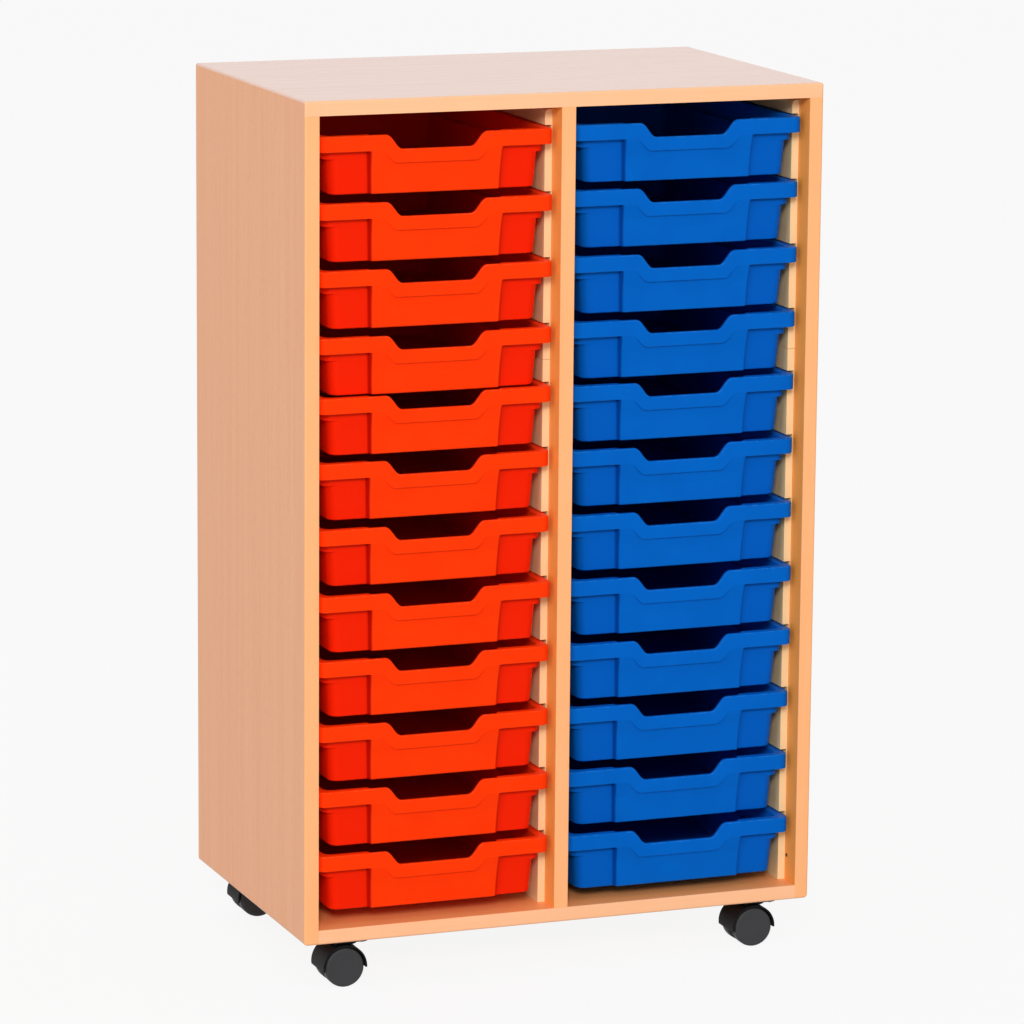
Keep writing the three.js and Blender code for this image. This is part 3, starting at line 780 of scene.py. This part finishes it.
def hood(corner, axle_x, middle):
    """A hood in one moulding: a cover round the wheels, a middle web and a collar on top."""
    node = "caster_hood_" + corner
    cover, web, collar = bmesh.new(), bmesh.new(), bmesh.new()

    def round_axle(u, v, along):
        return axle_x + u, middle.y + along, WHEEL_RADIUS + v

    outline = arc(HOOD_OUTER, HOOD_START, HOOD_END, HOOD_STEPS)
    outline += arc(HOOD_INNER, HOOD_END, HOOD_START, HOOD_STEPS)
    prism(cover, outline, -HOOD_HALF_WIDTH, HOOD_HALF_WIDTH, round_axle)
    outline = arc(HOOD_INNER + HOOD_OVERLAP, HOOD_START, HOOD_END, HOOD_STEPS)
    outline += arc(WEB_RADIUS, HOOD_END, HOOD_START + 2 * math.pi, WEB_STEPS)
    prism(web, outline, -HOOD_WEB / 2, HOOD_WEB / 2, round_axle)
    rounded_sharp(cover, HOOD_ARRIS)
    rounded_sharp(web, HOOD_ARRIS)
    crown = WHEEL_RADIUS + HOOD_INNER + HOOD_OVERLAP
    profile = [(0, crown), (COLLAR_RADIUS, crown), (COLLAR_RADIUS, COLLAR_TOP - COLLAR_ARRIS),
               (COLLAR_RADIUS - COLLAR_ARRIS, COLLAR_TOP), (0, COLLAR_TOP)]
    lathed(collar, profile, COLLAR_SIDES, lambda u, v, along: (middle.x + u, middle.y + v, along))
    finished(node + "_moulding", joined((cover, web, collar)), (BLACK_NYLON,), "caster_" + corner,
             "caster_nylon", node)


def wheel(corner, side):
    """A plain wheel: a crowned tread, round edges and a shallow dish in its outer face."""
    node = f"caster_wheel_{corner}_{side}"
    low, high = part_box(node)
    middle = (low + high) / 2
    outward = -1 if side == "near" else 1
    inner_face = high.y if side == "near" else low.y
    end = WHEEL_WIDTH - WHEEL_END_WALL
    shoulder = WHEEL_RADIUS - WHEEL_EDGE
    profile = [(0, end), (WHEEL_BORE, end), (WHEEL_BORE, WHEEL_BORE_ARRIS),
               (WHEEL_BORE + WHEEL_BORE_ARRIS, 0)]
    profile += arc(WHEEL_EDGE, -math.pi / 2, 0, EDGE_STEPS, (shoulder, WHEEL_EDGE))
    profile += arc(WHEEL_EDGE, 0, math.pi / 2, EDGE_STEPS, (shoulder, WHEEL_WIDTH - WHEEL_EDGE))
    profile += [(DISH_RADIUS, WHEEL_WIDTH), (DISH_FOOT_RADIUS, WHEEL_WIDTH - DISH_DEPTH),
                (HUB_RADIUS, WHEEL_WIDTH - HUB_DEPTH), (0, WHEEL_WIDTH - HUB_DEPTH)]

    def round_axle(u, v, along):
        return middle.x + u, inner_face + outward * along, middle.z + v

    shape = bmesh.new()
    lathed(shape, profile, WHEEL_SIDES, round_axle)
    finished(node + "_moulding", shape, (GREY_NYLON,), f"wheel_{corner}_{side}", "caster_wheel", node)


def plate(corner, middle):
    """A fixing plate with round corners, pressed arrises and its swivel pin."""
    node = "caster_plate_" + corner
    low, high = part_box(node)
    reach = (high.x - low.x) / 2 - PLATE_CORNER
    outline = []
    for quarter, (x, y) in enumerate(((1, 1), (-1, 1), (-1, -1), (1, -1))):
        start = quarter * math.pi / 2
        outline += arc(PLATE_CORNER, start, start + math.pi / 2, PLATE_CORNER_STEPS,
                       (middle.x + x * reach, middle.y + y * reach))
    flat, pin = bmesh.new(), bmesh.new()
    prism(flat, outline, high.z - PLATE_THICKNESS, high.z, lambda u, v, along: (u, v, along))
    rounded_sharp(flat, PLATE_ARRIS)
    pin_top = high.z - PLATE_THICKNESS / 2
    profile = [(0, KINGPIN_FOOT), (KINGPIN_RADIUS - KINGPIN_ARRIS, KINGPIN_FOOT),
               (KINGPIN_RADIUS, KINGPIN_FOOT + KINGPIN_ARRIS), (KINGPIN_RADIUS, pin_top), (0, pin_top)]
    lathed(pin, profile, KINGPIN_SIDES, lambda u, v, along: (middle.x + u, middle.y + v, along))
    finished(node + "_pressing", joined((flat, pin)), (DARK_ZINC_PAINTED_SHADE,), "carcass", "caster_steel", node)


stems = {}
for corner in CORNERS:
    low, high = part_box("caster_plate_" + corner)
    stems[corner] = (low + high) / 2
    axle_low, axle_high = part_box("caster_axle_" + corner)
    hood(corner, (axle_low.x + axle_high.x) / 2, stems[corner])
    plate(corner, stems[corner])
    for side in ("near", "far"):
        wheel(corner, side)
    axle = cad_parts["caster_axle_" + corner]
    axle.data.materials.clear()
    axle.data.materials.append(ZINC)


# Screws

def screw_tree():
    """Sets a pan head with a cross recess on every point, turned to where the point faces."""
    tree = bpy.data.node_groups.new("screw heads", "GeometryNodeTree")
    sockets = tree.interface
    sockets.new_socket("Points", in_out="INPUT", socket_type="NodeSocketGeometry")
    for name in ("Head radius", "Head height", "Recess width"):
        sockets.new_socket(name, in_out="INPUT", socket_type="NodeSocketFloat")
    sockets.new_socket("Finish", in_out="INPUT", socket_type="NodeSocketMaterial")
    sockets.new_socket("Heads", in_out="OUTPUT", socket_type="NodeSocketGeometry")
    given = add(tree, "NodeGroupInput").outputs
    crown = add(tree, "ShaderNodeMath", {0: given["Head radius"], 1: HEAD_CROWN_SHARE},
                operation="MULTIPLY")
    head = add(tree, "GeometryNodeMeshCone",
               {"Vertices": HEAD_SIDES, "Radius Top": crown.outputs[0],
                "Radius Bottom": given["Head radius"], "Depth": given["Head height"]})
    cut = add(tree, "GeometryNodeMeshBoolean", {0: head.outputs["Mesh"]}, operation="DIFFERENCE",
              solver="EXACT")
    length = add(tree, "ShaderNodeMath", {0: given["Head radius"], 1: RECESS_LENGTH_SHARE},
                 operation="MULTIPLY").outputs[0]
    width = given["Recess width"]
    lift = add(tree, "ShaderNodeCombineXYZ", {2: given["Head height"]})
    for along, across in ((length, width), (width, length)):
        size = add(tree, "ShaderNodeCombineXYZ", {0: along, 1: across, 2: given["Head height"]})
        cutter = add(tree, "GeometryNodeMeshCube", {"Size": size.outputs[0]})
        slot = add(tree, "GeometryNodeTransform",
                   {"Geometry": cutter.outputs["Mesh"], "Translation": lift.outputs[0]})
        tree.links.new(slot.outputs[0], cut.inputs[1])
    facing = add(tree, "GeometryNodeInputNamedAttribute", {"Name": "facing"}, data_type="FLOAT_VECTOR")
    turn = add(tree, "FunctionNodeAlignRotationToVector", {"Vector": facing.outputs[0]}, axis="Z")
    heads = add(tree, "GeometryNodeInstanceOnPoints",
                {"Points": given["Points"], "Instance": cut.outputs[0], "Rotation": turn.outputs[0]})
    real = add(tree, "GeometryNodeRealizeInstances", {"Geometry": heads.outputs[0]})
    clad = add(tree, "GeometryNodeSetMaterial",
               {"Geometry": real.outputs[0], "Material": given["Finish"]})
    add(tree, "NodeGroupOutput", {"Heads": clad.outputs[0]})
    return tree


SCREWS = screw_tree()


def screws(name, places, head, finish):
    """Screw heads on the carcass. Each place is a point on a surface and the way it faces.

    head: a head's radius and height.
    """
    radius, height = head
    mesh = bpy.data.meshes.new(name)
    mesh.from_pydata([place for place, facing in places], [], [])
    facing = mesh.attributes.new("facing", "FLOAT_VECTOR", "POINT")
    for point, (place, way) in zip(facing.data, places):
        point.vector = way
    piece = bpy.data.objects.new(name, mesh)
    bpy.context.scene.collection.objects.link(piece)
    modifier = piece.modifiers.new("heads", "NODES")
    modifier.node_group = SCREWS
    chosen = {"Head radius": radius, "Head height": height,
              "Recess width": radius * RECESS_WIDTH_SHARE, "Finish": finish}
    for item in SCREWS.interface.items_tree:
        if item.name in chosen:
            modifier[item.identifier] = chosen[item.name]
    settle(piece)
    placed(piece, "carcass", "caster_steel")


plate_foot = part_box("caster_plate_front_left")[1].z - PLATE_THICKNESS
screws("caster_plate_screws",
       [((stem.x + x, stem.y + y, plate_foot), (0, 0, -1)) for stem in stems.values()
        for x in (-PLATE_SCREW_REACH, PLATE_SCREW_REACH) for y in (-PLATE_SCREW_REACH, PLATE_SCREW_REACH)],
       PLATE_SCREW_HEAD, ZINC)

back_low, back_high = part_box("back_panel")
back_columns = (back_low.x + BACK_SCREW_INSET, 0.0, back_high.x - BACK_SCREW_INSET)
back_levels = [between(back_low.z + BACK_SCREW_END, back_high.z - BACK_SCREW_END, k / (BACK_SCREWS - 1))
               for k in range(BACK_SCREWS)]
screws("back_panel_screws",
       [((x, back_high.y, z), (0, 1, 0)) for x in back_columns for z in back_levels],
       BACK_SCREW_HEAD, ZINC)

runner_places = []
for wall, facing in WALLS.items():
    for section, rows in RUNNER_SCREW_ROWS.items():
        low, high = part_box(f"{section}_runner_{wall}")
        face_x = high.x if facing > 0 else low.x
        for row in rows:
            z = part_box(f"red_tray_{row:02d}")[0].z + RUNNER_SCREW_LEVEL
            for y in (low.y + RUNNER_SCREW_FRONT, (low.y + high.y) / 2, high.y - RUNNER_SCREW_BACK):
                runner_places.append(((face_x, y, z), (facing, 0, 0)))
screws("runner_screws", runner_places, RUNNER_SCREW_HEAD, ZINC)

# One screw low on each side's inner face, in front of the runner: the right one shows from the front.
side_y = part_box("lower_runner_blue_right")[0].y - SIDE_SCREW_FRONT
side_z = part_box("base_panel")[1].z + SIDE_SCREW_LEVEL
screws("side_panel_screws",
       [((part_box("left_side_panel")[1].x, side_y, side_z), (1, 0, 0)),
        ((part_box("right_side_panel")[0].x, side_y, side_z), (-1, 0, 0))],
       SIDE_SCREW_HEAD, DARK_ZINC_PAINTED_SHADE)


# Floor, light and camera

def seen_directly(tree):
    """1 where the camera, a reflection or a clear piece shows a surface, 0 where it only lights others."""
    path = add(tree, "ShaderNodeLightPath").outputs
    seen = path["Is Camera Ray"]
    for kind in ("Is Glossy Ray", "Is Transmission Ray"):
        seen = add(tree, "ShaderNodeMath", {0: seen, 1: path[kind]}, operation="MAXIMUM").outputs[0]
    return seen


def floor_finish():
    """A plain white floor that keeps the soft shadow under the unit."""
    made = bpy.data.materials.new("white_studio_floor")
    made.use_nodes = True
    tree = made.node_tree
    tree.nodes.clear()
    share = add(tree, "ShaderNodeMath", {0: seen_directly(tree), 1: FLOOR_WHITE_SHARE},
                operation="MULTIPLY")
    matt = add(tree, "ShaderNodeBsdfDiffuse", {"Color": linear("#d2d2d2")})
    white = add(tree, "ShaderNodeEmission", {"Color": linear("#ffffff"), "Strength": 1.0})
    both = add(tree, "ShaderNodeMixShader",
               {0: share.outputs[0], 1: matt.outputs[0], 2: white.outputs[0]})
    add(tree, "ShaderNodeOutputMaterial", {"Surface": both.outputs[0]})
    return made


floor_mesh = bpy.data.meshes.new("studio_floor")
floor_corners = [(x * FLOOR_REACH, y * FLOOR_REACH, 0.0) for x, y in ((-1, -1), (1, -1), (1, 1), (-1, 1))]
floor_mesh.from_pydata(floor_corners, [], [(0, 1, 2, 3)])
floor_mesh.materials.append(floor_finish())
floor = bpy.data.objects.new("studio_floor", floor_mesh)
bpy.context.scene.collection.objects.link(floor)

world = bpy.data.worlds.new("white_studio")
bpy.context.scene.world = world
world.use_nodes = True
room = world.node_tree
room.nodes.clear()
level = add(room, "ShaderNodeMapRange", {"Value": seen_directly(room), "To Min": ROOM_LIGHT, "To Max": 1.0})
sky = add(room, "ShaderNodeBackground", {"Color": linear("#ffffff"), "Strength": level.outputs[0]})
add(room, "ShaderNodeOutputWorld", {"Surface": sky.outputs[0]})


def lamp(name, place, size, power):
    """A square soft box at a place, turned to the unit's middle."""
    light = bpy.data.lights.new(name, "AREA")
    light.size = size
    light.energy = power
    made = bpy.data.objects.new(name, light)
    made.location = place
    made.rotation_mode = "QUATERNION"
    made.rotation_quaternion = (Vector(LAMP_AIM) - Vector(place)).to_track_quat("-Z", "Y")
    bpy.context.scene.collection.objects.link(made)


lamp("key_soft_box", KEY_PLACE, KEY_SIZE, KEY_POWER)
lamp("left_soft_box", LEFT_PLACE, LEFT_SIZE, LEFT_POWER)

azimuth, elevation, roll = (math.radians(a) for a in (CAMERA_AZIMUTH, CAMERA_ELEVATION, CAMERA_ROLL))
back = Vector((math.sin(azimuth) * math.cos(elevation), -math.cos(azimuth) * math.cos(elevation),
               math.sin(elevation)))
right = Vector((math.cos(azimuth), math.sin(azimuth), 0))
up = back.cross(right)
across = right * math.cos(roll) + up * math.sin(roll)
upward = up * math.cos(roll) - right * math.sin(roll)
lens = bpy.data.cameras.new("photo_camera")
lens.lens = CAMERA_LENS
lens.sensor_width = CAMERA_SENSOR
lens.clip_end = CAMERA_REACH
camera = bpy.data.objects.new("photo_camera", lens)
turned = Matrix((across, upward, back)).transposed().to_4x4()
camera.matrix_world = Matrix.Translation(CAMERA_PLACE) @ turned
bpy.context.scene.collection.objects.link(camera)
bpy.context.scene.camera = camera

bpy.context.scene.view_settings.view_transform = "Standard"
